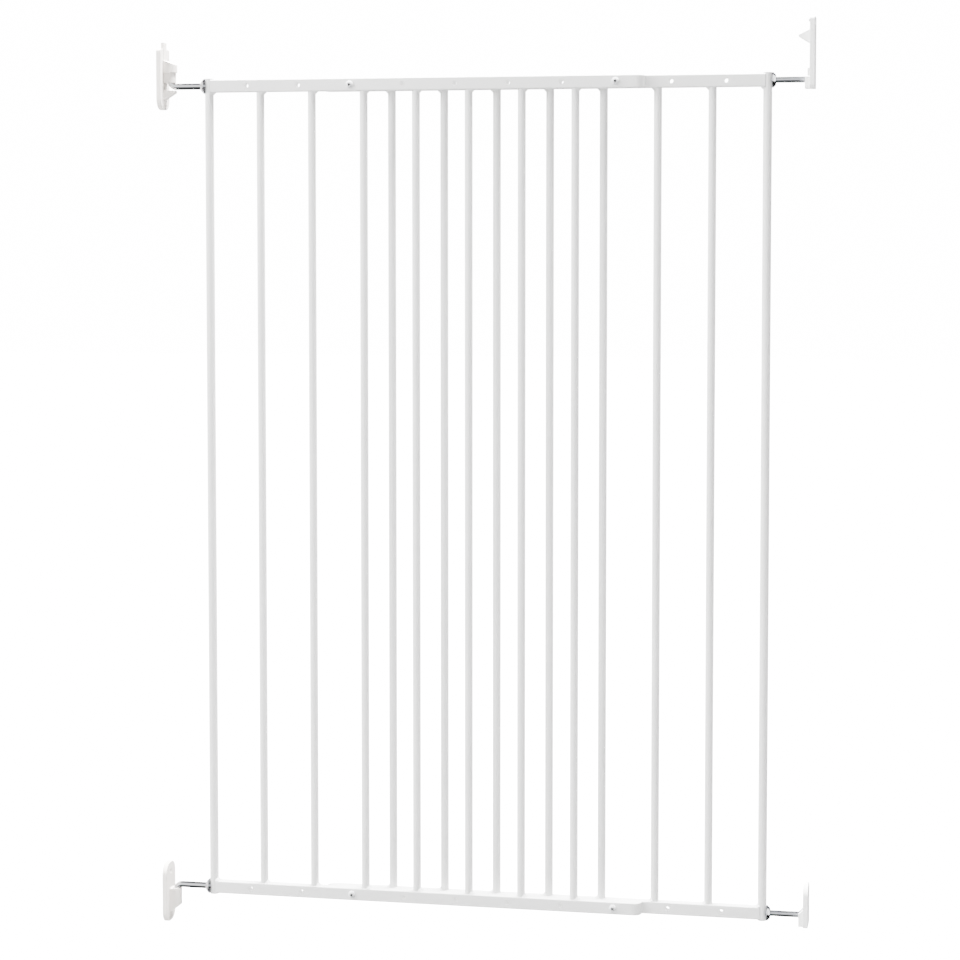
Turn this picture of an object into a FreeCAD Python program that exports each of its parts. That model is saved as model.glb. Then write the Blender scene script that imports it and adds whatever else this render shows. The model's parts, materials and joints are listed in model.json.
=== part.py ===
# Wall-mounted pet gate: two welded steel panels clamped together, carried by two hooked
# hinge rods on the left and held by two bolts in lift-over cradles on the right.
# X runs along the gate, Y from its front to its back and Z up. The origin lies on the floor line,
# midway between the two walls.
import FreeCAD, Part
import Sketcher
import os
import re

from FreeCAD import Placement, Rotation, Vector

doc = FreeCAD.newDocument("pet_gate")

# Driving sizes in millimetres; pitches, holes and counts are plain numbers.
SIZES = {
    "frame_tall": 1050,      # a panel, from rail to rail, outside
    "bar_pitch": 67.5,       # from one upright's axis to the next
    "bar_count": 7,          # uprights of a panel beside its end post
    "bar_dia": 10,
    "bar_wall": 1,
    "post_side": 1.5,        # steel left beside the rod's hole in an end post
    "post_wall": 1.5,
    "post_over": 1.5,        # an end post runs past its rails
    "rail_tall": 16,
    "rail_wall": 1,
    "rail_round": 1.5,       # outside corners of the box tube
    "weld_leg": 5,
    "weld_thick": 4,
    "fit_gap": 0.05,         # between pieces that are pressed or welded together
    "run_gap": 0.1,          # round a pin or bolt that turns or slides
    "free_gap": 0.3,         # between pieces that only pass each other
    "cap_lip": 12,           # head of a rail end cap
    "cap_round": 10,         # its nose, towards the side away from the other panel
    "cap_plug": 12,
    "hole_dia": 5.4,         # adjusting holes along the rails
    "hole_first": 0.75,      # first hole, in pitches from the end post
    "hole_count": 8,
    "hole_steps": 9,         # whole pitches from one panel's first hole to the other's
    "rail_past": 0.35,       # a rail runs on past its last hole, in pitches
    "rod_dia": 8,
    "bend_radius": 8,
    "rod_inside": 24,        # a rod runs this far past the post's axis, inside the rail
    "plug_side": 1,          # steel of a threaded plug beside the rod
    "plug_long": 12,
    "plug_back": 1,          # from the end post's side
    "hinge_gap": 65,         # wall to end post on the hinge side
    "latch_gap": 57.5,       # wall to end post on the latch side
    "pin_off": 13.5,         # hinge axis to wall
    "pin_reach": 16,         # hooked end, from the rod's axis to its tip
    "bush_wall": 1,
    "bush_end": 1.2,
    "bush_clear": 1,         # from the end of the rod's bend
    "lift": 8,               # how far the gate is lifted to leave its cradles
    "nut_flats": 13,
    "nut_tall": 8,
    "nut_bevel": 3.4,        # off the flats, across the nut's narrow end
    "flange_dia": 19,
    "flange_thick": 1.4,
    "flange_slope": 3,       # the flange falls to the flats over this length
    "screw_dia": 5,
    "head_dia": 9.5,
    "head_tall": 3,
    "head_bevel": 1,
    "cross_wide": 1.2,
    "cross_long": 5,
    "cross_deep": 1.6,
    "cap_nut_flats": 8,
    "cap_nut_tall": 4,
    "cap_nut_dome": 7.4,
    "plate_wide": 36,        # wall plates of all four brackets
    "plate_thick": 6,
    "track_floor": 2.4,      # plate left behind a slide
    "track_wing": 9,         # half widths of a slide in its track
    "track_neck": 6,
    "wing_thick": 1.5,
    "wing_short": 2,         # the hinge lock's wings end below the track's top
    "wall_hole": 4.5,        # for the wall screws
    "sink_dia": 8.4,
    "sink_deep": 1.4,
    "big_round": 14,         # free ends of the hinge brackets' plates
    "small_round": 4,
    "edge_round": 0.8,
    "boss_wall": 1.8,        # plastic round a hinge socket
    "mouth_cut": 1.2,
    "mouth_gap": 1,          # from the rod's side to a socket's mouth
    "hinge_top": 48,         # upper hinge bracket, up and down from the rod's axis
    "hinge_bottom": 29.5,
    "hinge_screw": 22,
    "hinge_screw_up": 40,
    "lip_top": 4.8,
    "lip_reach": 20,
    "lip_nose": 3,
    "lip_bottom": 16.5,
    "lock_top": 56,          # tongue of the hinge lock
    "hood_top": 33.5,
    "hood_nose": 27,
    "hood_bottom": 18,
    "hood_wall": 1.6,        # the hood stands proud of the socket by this much
    "seat_top": 29,          # lower hinge bracket
    "seat_bottom": 48,
    "seat_screw": 17,
    "seat_screw_low": 42,
    "boss_low": 25,
    "boss_root": 37,
    "latch_top": 76,         # upper latch bracket
    "latch_bottom": 11,
    "latch_screw": 24,
    "latch_screw_up": 70,
    "head_low": 69.5,
    "head_proud": 1.2,
    "cradle_reach": 12,
    "cradle_wide": 19,
    "cradle_lip": 2.5,
    "cup_top": 41,           # lower latch bracket
    "cup_bottom": 13,
    "cup_screw": 33,
    "cup_screw_low": 17,
    "cup_flare": 6,
    "bolt_end_gap": 1,
    "bolt_bevel": 1,
    "tab_low": 43.5,         # thumb tab of the latch slide
    "tab_peak": 53,
    "tab_top": 61,
    "tab_edge": 2,
    "tab_reach": 20,
    "tab_wide": 16,
    "nib_low": 4.8,          # stop finger just above the bolt
    "nib_top": 14,
    "nib_thick": 3,
    "nib_wide": 8,
    "root_in": 1,            # what stands on a plate is rooted this far inside it
    "over_cut": 1,           # a cut runs this far past what it cuts
}

# What follows from them.
LAYOUT = {
    "rail_deep": "rod_dia + 2 * (plug_side + rail_wall)",
    "post_dia": "rod_dia + 2 * post_side",
    "post_gap": "(2 * hole_first + hole_steps) * bar_pitch",
    "opening": "hinge_gap + post_gap + latch_gap",
    "left_wall": "-opening / 2",
    "right_wall": "opening / 2",
    "left_post": "left_wall + hinge_gap",
    "right_post": "right_wall - latch_gap",
    "front_line": "-rail_deep / 2",
    "back_line": "rail_deep / 2",
    "low_rod": "seat_bottom",
    "frame_base": "low_rod - rail_tall / 2",
    "frame_top": "frame_base + frame_tall",
    "high_rod": "frame_top - rail_tall / 2",
    "rail_start": "post_dia / 4",
    "rail_end": "(hole_first + hole_count - 1 + rail_past) * bar_pitch",
    "shared_hole": "hole_steps + 2 - hole_count",
    "rod_bore": "rod_dia + 2 * run_gap",
    "pin_line": "left_wall + pin_off",
    "bush_dia": "rod_bore + 2 * bush_wall",
    "bush_tip": "pin_reach + run_gap + bush_end",
    "bush_foot": "bend_radius + bush_clear",
    "socket_dia": "bush_dia + 2 * run_gap",
    "socket_tip": "bush_tip + run_gap",
    "socket_mouth": "rod_dia / 2 + mouth_gap",
    "boss_dia": "socket_dia + 2 * boss_wall",
    "hood_dia": "boss_dia + 2 * hood_wall",
    "track_deep": "wing_thick + 2 * free_gap",
    "slide_foot": "socket_mouth",
    "bolt_tip": "right_wall - plate_thick - bolt_end_gap",
    "cradle_bore": "rod_dia + 2 * free_gap",
    "bar_tall": "frame_tall - 2 * rail_tall",
}


def fillSheet(name, values, start=""):
    sheet = doc.addObject("Spreadsheet::Sheet", name)
    for row, (alias, value) in enumerate(values.items(), 1):
        sheet.set(f"A{row}", alias)
        sheet.set(f"B{row}", f"{start}{tied(value) if start else value}")
        sheet.setAlias(f"B{row}", alias)
        sheetOf[alias] = name
    return sheet


# A formula in plain aliases gets the name of the sheet that holds each of them.
def tied(formula):
    return re.sub(r"[a-z_]+", lambda word: f"{sheetOf[word[0]]}.{word[0]}"
                  if word[0] in sheetOf else word[0], str(formula))


def number(formula):
    return float(sizes.evalExpression(tied(formula)))


def bind(thing, sizes_of):
    for prop, formula in sizes_of.items():
        thing.setExpression(prop, tied(formula))
    return thing


def place(thing, spot, rotation=Rotation()):
    thing.Placement = Placement(Vector(*[number(part) for part in spot]), rotation)
    names = (".Placement.Base.x", ".Placement.Base.y", ".Placement.Base.z")
    return bind(thing, dict(zip(names, spot)))


sheetOf = {}
sizes = fillSheet("Sizes", SIZES)
layout = fillSheet("Layout", LAYOUT, "=")
doc.recompute()

UPRIGHT = Rotation()
ALONG_X = Rotation(Vector(0, 1, 0), 90)      # a cylinder's axis turned from +Z to +X
ALONG_Y = Rotation(Vector(1, 0, 0), -90)     # and to +Y
TURNED = Rotation(Vector(0, 0, 1), 180)      # the right panel and the right-hand brackets

nodes = []


def node(thing, label):
    thing.Label = label
    nodes.append(thing)
    return thing


# Part primitives.
def rod(spot, diameter, length, rotation=UPRIGHT):
    made = doc.addObject("Part::Cylinder", "rod")
    bind(made, {"Radius": f"({diameter}) / 2", "Height": length})
    return place(made, spot, rotation)


def cone(spot, foot, top, length, rotation=UPRIGHT):
    made = doc.addObject("Part::Cone", "cone")
    bind(made, {"Radius1": f"({foot}) / 2", "Radius2": f"({top}) / 2", "Height": length})
    return place(made, spot, rotation)


def block(spot, length, width, height):
    made = doc.addObject("Part::Box", "block")
    bind(made, {"Length": length, "Width": width, "Height": height})
    return place(made, spot)


def cut(base, tool):
    made = doc.addObject("Part::Cut", "cut")
    made.Base, made.Tool = base, tool
    return made


def common(base, tool):
    made = doc.addObject("Part::Common", "common")
    made.Base, made.Tool = base, tool
    return made


def fuse(*pieces):
    made = doc.addObject("Part::MultiFuse", "fuse")
    made.Shapes = list(pieces)
    made.Refine = True
    return made


def group(pieces, label):
    made = doc.addObject("Part::Compound", label)
    made.Links = pieces
    return node(made, label)


# PartDesign helpers.
def newBody(label, spot, rotation=UPRIGHT):
    body = doc.addObject("PartDesign::Body", label)
    place(body, spot, rotation)
    return node(body, label)


def drawOutlines(body, plane, *outlines):
    sketch = body.newObject("Sketcher::SketchObject", "outline")
    faces = {feature.Role: feature for feature in body.Origin.OriginFeatures}
    sketch.AttachmentSupport = [(faces[plane], "")]
    sketch.MapMode = "FlatFace"
    first = 0
    for corners in outlines:
        spots = [Vector(number(across), number(up), 0) for across, up in corners]
        for start, end in zip(spots, spots[1:] + spots[:1]):
            sketch.addGeometry(Part.LineSegment(start, end), False)
        for index, (corner, spot) in enumerate(zip(corners, spots)):
            line, following = first + index, first + (index + 1) % len(corners)
            sketch.addConstraint(Sketcher.Constraint("Coincident", line, 2, following, 1))
            for kind, formula, value in zip(("DistanceX", "DistanceY"), corner, spot):
                row = sketch.addConstraint(Sketcher.Constraint(kind, -1, 1, line, 1, value))
                sketch.setExpression(f"Constraints[{row}]", tied(formula))
        first += len(corners)
    return sketch


def drawCircle(body, plane, across, up, diameter):
    sketch = body.newObject("Sketcher::SketchObject", "circle")
    faces = {feature.Role: feature for feature in body.Origin.OriginFeatures}
    sketch.AttachmentSupport = [(faces[plane], "")]
    sketch.MapMode = "FlatFace"
    middle = Vector(number(across), number(up), 0)
    sketch.addGeometry(Part.Circle(middle, Vector(0, 0, 1), number(diameter) / 2), False)
    for kind, formula, value in zip(("DistanceX", "DistanceY"), (across, up), middle):
        row = sketch.addConstraint(Sketcher.Constraint(kind, -1, 1, 0, 3, value))
        sketch.setExpression(f"Constraints[{row}]", tied(formula))
    row = sketch.addConstraint(Sketcher.Constraint("Diameter", 0, number(diameter)))
    sketch.setExpression(f"Constraints[{row}]", tied(diameter))
    return sketch


def pad(body, sketch, length, middle=True):
    made = body.newObject("PartDesign::Pad", "pad")
    made.Profile = sketch
    made.SideType = "Symmetric" if middle else "One side"
    sketch.Visibility = False
    return bind(made, {"Length": length})


def feature(body, kind, spot, sizes_of, rotation=UPRIGHT):
    made = body.newObject(f"PartDesign::{kind}", kind)
    bind(made, sizes_of)
    return place(made, spot, rotation)


def roundEdges(body, radius, wanted):
    doc.recompute()
    base = body.Tip
    names = [f"Edge{index}" for index, edge in enumerate(base.Shape.Edges, 1) if wanted(edge)]
    made = body.newObject("PartDesign::Fillet", "round")
    made.Base = (base, names)
    return bind(made, {"Radius": radius})


def box(edge):
    return edge.BoundBox


def lies(value, formula):
    return abs(value - number(formula)) < 1e-4


# One welded panel.
# A panel starts at its own end post and runs along `way`: +1 for the left one, -1 for the right.
def buildPanel(side, post, line, way):
    turn = UPRIGHT if way > 0 else TURNED

    def along(distance):
        return f"{post} + ({distance})" if way > 0 else f"{post} - ({distance})"

    def upright(name, distance, diameter, wall, foot, tall):
        outside = rod((along(distance), line, foot), diameter, tall)
        inside = rod((along(distance), line, foot), f"{diameter} - 2 * {wall}", tall)
        return node(cut(outside, inside), name)

    endPost = f"{side}_end_post"
    tube = cut(rod((post, line, "frame_base - post_over"), "post_dia", "frame_tall + 2 * post_over"),
               rod((post, line, "frame_base - post_over"), "post_dia - 2 * post_wall",
                   "frame_tall + 2 * post_over"))
    bores = [rod((f"{post} - post_dia", line, height), "rod_bore", "2 * post_dia", ALONG_X)
             for height in ("low_rod", "high_rod")]
    node(cut(tube, fuse(*bores)), endPost)

    plugs = [rod((post, line, foot), "post_dia - 2 * post_wall - 2 * fit_gap", "post_over")
             for foot in ("frame_base - post_over", "frame_top")]
    group(plugs, f"{side}_post_plugs")

    for index in range(1, int(number("bar_count")) + 1):
        upright(f"{side}_bar_{index}", f"{index} * bar_pitch", "bar_dia", "bar_wall",
                "frame_base + rail_tall", "bar_tall")

    for name, height in (("bottom", "frame_base"), ("top", "frame_top - rail_tall")):
        buildRail(f"{side}_{name}_rail", (post, line, height), turn)

    caps = [buildCap(along, line, height, way) for height in ("low_rod", "high_rod")]
    group(caps, f"{side}_rail_caps")
    inserts = [buildInsert(along, line, height, way) for height in ("low_rod", "high_rod")]
    group(inserts, f"{side}_threaded_plugs")

    welds = []
    for index in range(0, int(number("bar_count")) + 1):
        reach = "post_dia / 2" if index == 0 else "bar_dia / 2"
        for foot, up in (("frame_base + rail_tall", 1), ("frame_top - rail_tall", -1)):
            spot = (along(f"{index} * bar_pitch + {reach}"), line, foot)
            welds.append(buildWeld(spot, way, up))
    group(welds, f"{side}_welds")


# A box tube, saddled round its end post, with a row of adjusting holes through both walls.
def buildRail(name, spot, turn):
    body = newBody(name, spot, turn)
    half, wall = "rail_deep / 2", "rail_wall"
    outer = [(f"-{half}", "0"), (half, "0"), (half, "rail_tall"), (f"-{half}", "rail_tall")]
    inner = [(f"-({half} - {wall})", wall), (f"{half} - {wall}", wall),
             (f"{half} - {wall}", f"rail_tall - {wall}"), (f"-({half} - {wall})", f"rail_tall - {wall}")]
    pad(body, drawOutlines(body, "YZ_Plane", outer, inner), "rail_end", middle=False)
    roundEdges(body, "rail_round", lambda edge: box(edge).XLength > 1
               and (lies(box(edge).YMin, half) or lies(box(edge).YMin, f"-{half}"))
               and (lies(box(edge).ZMin, "0") or lies(box(edge).ZMin, "rail_tall")))
    feature(body, "SubtractiveBox", ("0", f"-{half}", "0"),
            {"Length": "rail_start", "Width": "rail_deep", "Height": "rail_tall"})
    feature(body, "SubtractiveCylinder", ("0", "0", "0"),
            {"Radius": "post_dia / 2 + fit_gap", "Height": "rail_tall"})
    doc.recompute()
    plain = body.Shape.Volume
    hole = body.newObject("PartDesign::Pocket", "hole")
    hole.Profile = drawCircle(body, "XZ_Plane", "hole_first * bar_pitch", "rail_tall / 2", "hole_dia")
    hole.Type = "ThroughAll"
    hole.SideType = "Symmetric"
    doc.recompute()
    if not hole.Shape.Volume < plain:
        raise ValueError(f"{name}: the first hole cuts nothing")
    row = body.newObject("PartDesign::LinearPattern", "holes")
    row.Originals = [hole]
    row.Direction = (body.Origin.OriginFeatures[0], [""])
    bind(row, {"Length": "bar_pitch * (hole_count - 1)", "Occurrences": "hole_count"})
    body.Tip = row


# The plastic cap that closes a rail's free end, with its plug inside the tube.
def buildCap(along, line, height, way):
    start = along("rail_end - cap_plug") if way > 0 else along("rail_end")
    slack = "rail_wall + fit_gap"
    plug = block((start, f"{line} - rail_deep / 2 + {slack}", f"{height} - rail_tall / 2 + {slack}"),
                 "cap_plug", f"rail_deep - 2 * ({slack})", f"rail_tall - 2 * ({slack})")
    edge = along("rail_end") if way > 0 else along("rail_end + cap_lip")
    head = block((edge, f"{line} - rail_deep / 2", f"{height} - rail_tall / 2"),
                 "cap_lip", "rail_deep", "rail_tall")
    far = number(along("rail_end + cap_lip"))
    outer, inner = [number(f"{line} + {side} * rail_deep / 2") for side in (-way, way)]
    nose = roundBlock(head, "cap_round", lambda edge: edge.ZLength > 1
                      and abs(edge.XMin - far) < 1e-4 and abs(edge.YMin - outer) < 1e-4)
    lip = roundBlock(nose, "rail_round", lambda edge: edge.ZLength < 1e-4
                     and abs(edge.Center.y - inner) > 1e-4
                     and (edge.XLength > 1e-4 or abs(edge.XMin - far) < 1e-4))
    return fuse(plug, lip)


# Rounds the edges whose bounding boxes pass the test.
def roundBlock(base, radius, wanted):
    doc.recompute()
    made = doc.addObject("Part::Fillet", "lip")
    made.Base = base
    size = number(radius)
    made.Edges = [(index, size, size) for index, edge in enumerate(base.Shape.Edges, 1)
                  if wanted(edge.BoundBox)]
    return made


# The threaded steel plug in a rail, just inside the end post, that a rod screws into.
def buildInsert(along, line, height, way):
    start = "post_dia / 2 + plug_back"
    edge = along(start) if way > 0 else along(f"{start} + plug_long")
    slack = "rail_wall + fit_gap"
    body = block((edge, f"{line} - rail_deep / 2 + {slack}", f"{height} - rail_tall / 2 + {slack}"),
                 "plug_long", f"rail_deep - 2 * ({slack})", f"rail_tall - 2 * ({slack})")
    return cut(body, rod((edge, line, height), "rod_bore", "plug_long", ALONG_X))


# A weld fillet in the corner between an upright and a rail.
def buildWeld(spot, way, up):
    made = doc.addObject("Part::Wedge", "weld")
    bind(made, {"Xmax": "weld_leg", "Ymax": "weld_leg",
                "Zmin": "-weld_thick / 2", "Zmax": "weld_thick / 2",
                "Z2min": "-weld_thick / 2", "Z2max": "weld_thick / 2"})
    made.Xmin = made.Ymin = made.X2min = made.X2max = 0
    turn = UPRIGHT if way > 0 else TURNED
    return place(made, spot, turn * Rotation(Vector(1, 0, 0), 90 * up))


buildPanel("left", "left_post", "front_line", 1)
buildPanel("right", "right_post", "back_line", -1)


# Hinge rods, their bushes, latch bolts and lock nuts.
# A hinge rod screws into the frame and ends in a hook, down (-1) below and up (+1) above.
def buildHingeRod(name, height, up):
    turn = "pin_line + bend_radius"
    straight = rod((turn, "front_line", height), "rod_dia", f"left_post + rod_inside - ({turn})",
                   ALONG_X)
    bend = doc.addObject("Part::Torus", "bend")
    bind(bend, {"Radius1": "bend_radius", "Radius2": "rod_dia / 2"})
    bend.Angle3 = 90
    quarter = Rotation(Vector(1, 0, 0), 90) * Rotation(Vector(0, 0, 1), 180 if up > 0 else 90)
    place(bend, (turn, "front_line", f"{height} + {up} * bend_radius"), quarter)
    foot = f"{height} + bend_radius" if up > 0 else f"{height} - pin_reach"
    hook = rod(("pin_line", "front_line", foot), "rod_dia", "pin_reach - bend_radius")
    node(fuse(straight, bend, hook), name)


# A bush is a cup over the hook's tip: the rod turns in it, and it slides in its bracket's socket.
def buildBush(name, height, up):
    foot = f"{height} + bush_foot" if up > 0 else f"{height} - bush_tip"
    inner = f"{height} + bush_foot" if up > 0 else f"{height} - bush_tip + bush_end"
    outside = rod(("pin_line", "front_line", foot), "bush_dia", "bush_tip - bush_foot")
    inside = rod(("pin_line", "front_line", inner), "rod_bore", "bush_tip - bush_foot - bush_end")
    node(cut(outside, inside), name)


def buildLatchBolt(name, height):
    start = "right_post - rod_inside"
    shank = rod((start, "back_line", height), "rod_dia", f"bolt_tip - bolt_bevel - ({start})", ALONG_X)
    tip = cone(("bolt_tip - bolt_bevel", "back_line", height), "rod_dia", "rod_dia - 2 * bolt_bevel",
               "bolt_bevel", ALONG_X)
    node(fuse(shank, tip), name)


# A flanged lock nut whose flange bears on an end post; `way` is the side that its hexagon points to.
def buildLockNut(post, line, height, way):
    turn = ALONG_X if way > 0 else Rotation(Vector(0, 1, 0), -90)
    seat = f"{post} + {way} * (post_dia / 2 + fit_gap)"
    hexagon = doc.addObject("Part::Prism", "hexagon")
    hexagon.Polygon = 6
    bind(hexagon, {"Circumradius": "nut_flats / sqrt(3)", "Height": "nut_tall"})
    place(hexagon, (seat, line, height), turn)
    corners = cone((seat, line, height), "nut_flats - nut_bevel + 2 * nut_tall",
                   "nut_flats - nut_bevel", "nut_tall", turn)
    disc = rod((seat, line, height), "flange_dia", "flange_thick", turn)
    skirt = cone((f"{seat} + {way} * flange_thick", line, height), "flange_dia", "nut_flats",
                 "flange_slope", turn)
    bore = rod((f"{seat} - {way} * over_cut", line, height), "rod_bore", "nut_tall + 2 * over_cut", turn)
    return cut(fuse(common(hexagon, corners), disc, skirt), bore)


# Clamping screws and their cap nuts.
def buildClampScrew(across, height):
    face = "-rail_deep - fit_gap"
    shank = rod((across, face, height), "screw_dia", "2 * rail_deep + cap_nut_tall", ALONG_Y)
    head = cone((across, f"{face} - head_tall", height), "head_dia - 2 * head_bevel", "head_dia",
                "head_tall / 2", ALONG_Y)
    rim = rod((across, f"{face} - head_tall / 2", height), "head_dia", "head_tall / 2", ALONG_Y)
    top = f"{face} - head_tall"
    slots = [block((f"{across} - {wide} / 2", top, f"{height} - {tall} / 2"), wide, "cross_deep", tall)
             for wide, tall in (("cross_wide", "cross_long"), ("cross_long", "cross_wide"))]
    return cut(fuse(shank, head, rim), fuse(*slots))


def buildCapNut(across, height):
    face = "rail_deep + fit_gap"
    hexagon = doc.addObject("Part::Prism", "hexagon")
    hexagon.Polygon = 6
    bind(hexagon, {"Circumradius": "cap_nut_flats / sqrt(3)", "Height": "cap_nut_tall"})
    place(hexagon, (across, face, height), ALONG_Y)
    dome = doc.addObject("Part::Sphere", "dome")
    bind(dome, {"Radius": "cap_nut_dome / 2"})
    place(dome, (across, f"{face} + cap_nut_tall", height))
    bore = rod((across, f"{face} - over_cut", height), "screw_dia + 2 * run_gap",
               "cap_nut_tall + over_cut", ALONG_Y)
    return cut(fuse(hexagon, dome), bore)


for label, height, up in (("lower", "low_rod", -1), ("upper", "high_rod", 1)):
    buildHingeRod(f"{label}_hinge_rod", height, up)
    buildBush(f"{label}_pin_bush", height, up)
    buildLatchBolt(f"{label}_latch_bolt", height)

levels = ("low_rod", "high_rod")
group([buildLockNut("left_post", "front_line", level, -1) for level in levels], "hinge_lock_nuts")
group([buildLockNut("right_post", "back_line", level, 1) for level in levels], "latch_lock_nuts")

# The screws sit in the last hole of each rail, where it meets a hole of the other panel's.
clamps = [(f"left_post + (hole_first + {hole} - 1) * bar_pitch", level)
          for hole in ("shared_hole", "hole_count") for level in levels]
group([buildClampScrew(*clamp) for clamp in clamps], "clamp_screws")
group([buildCapNut(*clamp) for clamp in clamps], "clamp_cap_nuts")


# Wall brackets and slides.
# Each is drawn from its own wall: X off the wall, Z up from the rod's or bolt's axis.
def addWallPlate(body, top, bottom, topRound, bottomRound):
    half = "plate_wide / 2"
    corners = [(f"-{half}", f"-{bottom}"), (half, f"-{bottom}"), (half, top), (f"-{half}", top)]
    pad(body, drawOutlines(body, "YZ_Plane", corners), "plate_thick", middle=False)
    for radius, height in ((topRound, top), (bottomRound, f"-{bottom}")):
        roundEdges(body, radius, lambda edge: box(edge).XLength > 1 and lies(box(edge).ZMin, height)
                   and lies(box(edge).ZMax, height))
    roundEdges(body, "edge_round", lambda edge: lies(box(edge).XMin, "plate_thick"))


def addWallHole(body, height, face):
    feature(body, "SubtractiveCylinder", ("0", "0", height),
            {"Radius": "wall_hole / 2", "Height": face}, ALONG_X)
    feature(body, "SubtractiveCone", (f"{face} - sink_deep", "0", height),
            {"Radius1": "wall_hole / 2", "Radius2": "sink_dia / 2", "Height": "sink_deep"}, ALONG_X)


# The undercut track that a slide runs in, open at its top end.
def addTrack(body, foot, top):
    for half, depth in (("track_wing", "track_deep"), ("track_neck", "plate_thick - track_floor")):
        feature(body, "SubtractiveBox", ("track_floor", f"-({half} + free_gap)", foot),
                {"Length": depth, "Width": f"2 * ({half} + free_gap)", "Height": f"{top} - ({foot})"})


def addRunner(body, foot, wingTop, neckTop):
    back = "track_floor + free_gap"
    feature(body, "AdditiveBox", (back, "-track_wing", foot),
            {"Length": "wing_thick", "Width": "2 * track_wing", "Height": f"{wingTop} - ({foot})"})
    feature(body, "AdditiveBox", (back, "-track_neck", foot),
            {"Length": "plate_thick - track_floor", "Width": "2 * track_neck",
             "Height": f"{neckTop} - ({foot})"})


# A block with a round nose about the hinge axis.
def addNose(body, start, foot, top, width):
    feature(body, "AdditiveBox", (start, f"-({width}) / 2", foot),
            {"Length": f"pin_off - ({start})", "Width": width, "Height": f"{top} - ({foot})"})
    feature(body, "AdditiveCylinder", ("pin_off", "0", foot),
            {"Radius": f"({width}) / 2", "Height": f"{top} - ({foot})"})


# Whatever lies inside the outline is cut away over the body's whole width.
def trim(body, corners):
    doc.recompute()
    before = body.Shape.Volume
    made = body.newObject("PartDesign::Pocket", "trim")
    made.Profile = drawOutlines(body, "XZ_Plane", corners)
    made.Type = "ThroughAll"
    made.SideType = "Symmetric"
    doc.recompute()
    if not made.Shape.Volume < before:
        raise ValueError(f"{body.Label}: a trim cuts nothing")


def addCradle(body, bottom, flare):
    reach = "cradle_reach - plate_thick"
    feature(body, "AdditiveBox", ("plate_thick", "-cradle_wide / 2", f"-{bottom}"),
            {"Length": reach, "Width": "cradle_wide", "Height": f"{bottom} + cradle_lip"})
    if flare:
        slope = [("plate_thick", "0"), ("cradle_reach", "0"), ("cradle_reach", "cradle_lip"),
                 ("plate_thick", f"cradle_lip + {flare}")]
        pad(body, drawOutlines(body, "XZ_Plane", slope), "cradle_wide")
    feature(body, "SubtractiveCylinder", ("plate_thick", "0", "0"),
            {"Radius": "cradle_bore / 2", "Height": reach}, ALONG_X)
    feature(body, "SubtractiveBox", ("plate_thick", "-cradle_bore / 2", "0"),
            {"Length": reach, "Width": "cradle_bore", "Height": f"cradle_lip + {flare or 0} + over_cut"})


def buildUpperHinge():
    body = newBody("upper_hinge_bracket", ("left_wall", "front_line", "high_rod"))
    addWallPlate(body, "hinge_top", "hinge_bottom", "small_round", "big_round")
    addTrack(body, "slide_foot - free_gap", "hinge_top + over_cut")
    addWallHole(body, "-hinge_screw", "plate_thick")
    addWallHole(body, "hinge_screw_up", "track_floor")
    lip = [("plate_thick - root_in", "-lip_top"), ("lip_reach", "-lip_top"),
           ("lip_reach", "-(lip_top + lip_nose)"), ("plate_thick", "-lip_bottom"),
           ("plate_thick - root_in", "-lip_bottom")]
    pad(body, drawOutlines(body, "XZ_Plane", lip), "boss_dia")


def buildHingeLock():
    body = newBody("hinge_lock_slide", ("left_wall", "front_line", "high_rod"))
    face = "plate_thick + free_gap"
    addRunner(body, "slide_foot", "hinge_top - wing_short", "lock_top")
    addNose(body, face, "slide_foot", "hood_bottom", "boss_dia")
    addNose(body, face, "hood_bottom", "hood_top", "hood_dia")
    nose = "pin_off + hood_dia / 2 + over_cut"
    trim(body, [(face, "hood_top"), (nose, "hood_nose"), (nose, "hood_top + over_cut"),
                (face, "hood_top + over_cut")])
    feature(body, "SubtractiveCylinder", ("pin_off", "0", "slide_foot"),
            {"Radius": "socket_dia / 2", "Height": "socket_tip - slide_foot"})
    feature(body, "SubtractiveCone", ("pin_off", "0", "slide_foot"),
            {"Radius1": "socket_dia / 2 + mouth_cut", "Radius2": "socket_dia / 2", "Height": "mouth_cut"})


def buildLowerHinge():
    body = newBody("lower_hinge_bracket", ("left_wall", "front_line", "low_rod"))
    addWallPlate(body, "seat_top", "seat_bottom", "big_round", "big_round")
    addNose(body, "plate_thick", "-boss_root", "-socket_mouth", "boss_dia")
    nose = "pin_off + boss_dia / 2 + over_cut"
    trim(body, [("plate_thick", "-boss_root"), (nose, "-boss_low"), (nose, "-(boss_root + over_cut)"),
                ("plate_thick", "-(boss_root + over_cut)")])
    feature(body, "SubtractiveCylinder", ("pin_off", "0", "-socket_tip"),
            {"Radius": "socket_dia / 2", "Height": "socket_tip - socket_mouth"})
    feature(body, "SubtractiveCone", ("pin_off", "0", "-(socket_mouth + mouth_cut)"),
            {"Radius1": "socket_dia / 2", "Radius2": "socket_dia / 2 + mouth_cut", "Height": "mouth_cut"})
    addWallHole(body, "seat_screw", "plate_thick")
    addWallHole(body, "-seat_screw_low", "plate_thick")


def buildUpperLatch():
    body = newBody("upper_latch_bracket", ("right_wall", "back_line", "high_rod"), TURNED)
    addWallPlate(body, "latch_top", "latch_bottom", "small_round", "small_round")
    for side in ("-plate_wide / 2", "track_neck + free_gap"):
        feature(body, "AdditiveBox", ("plate_thick - root_in", side, "head_low"),
                {"Length": "head_proud + root_in", "Width": "plate_wide / 2 - track_neck - free_gap",
                 "Height": "latch_top - small_round - head_low"})
    addTrack(body, "nib_low - free_gap", "latch_top + over_cut")
    addCradle(body, "latch_bottom", None)
    addWallHole(body, "latch_screw", "track_floor")
    addWallHole(body, "latch_screw_up", "track_floor")


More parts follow.
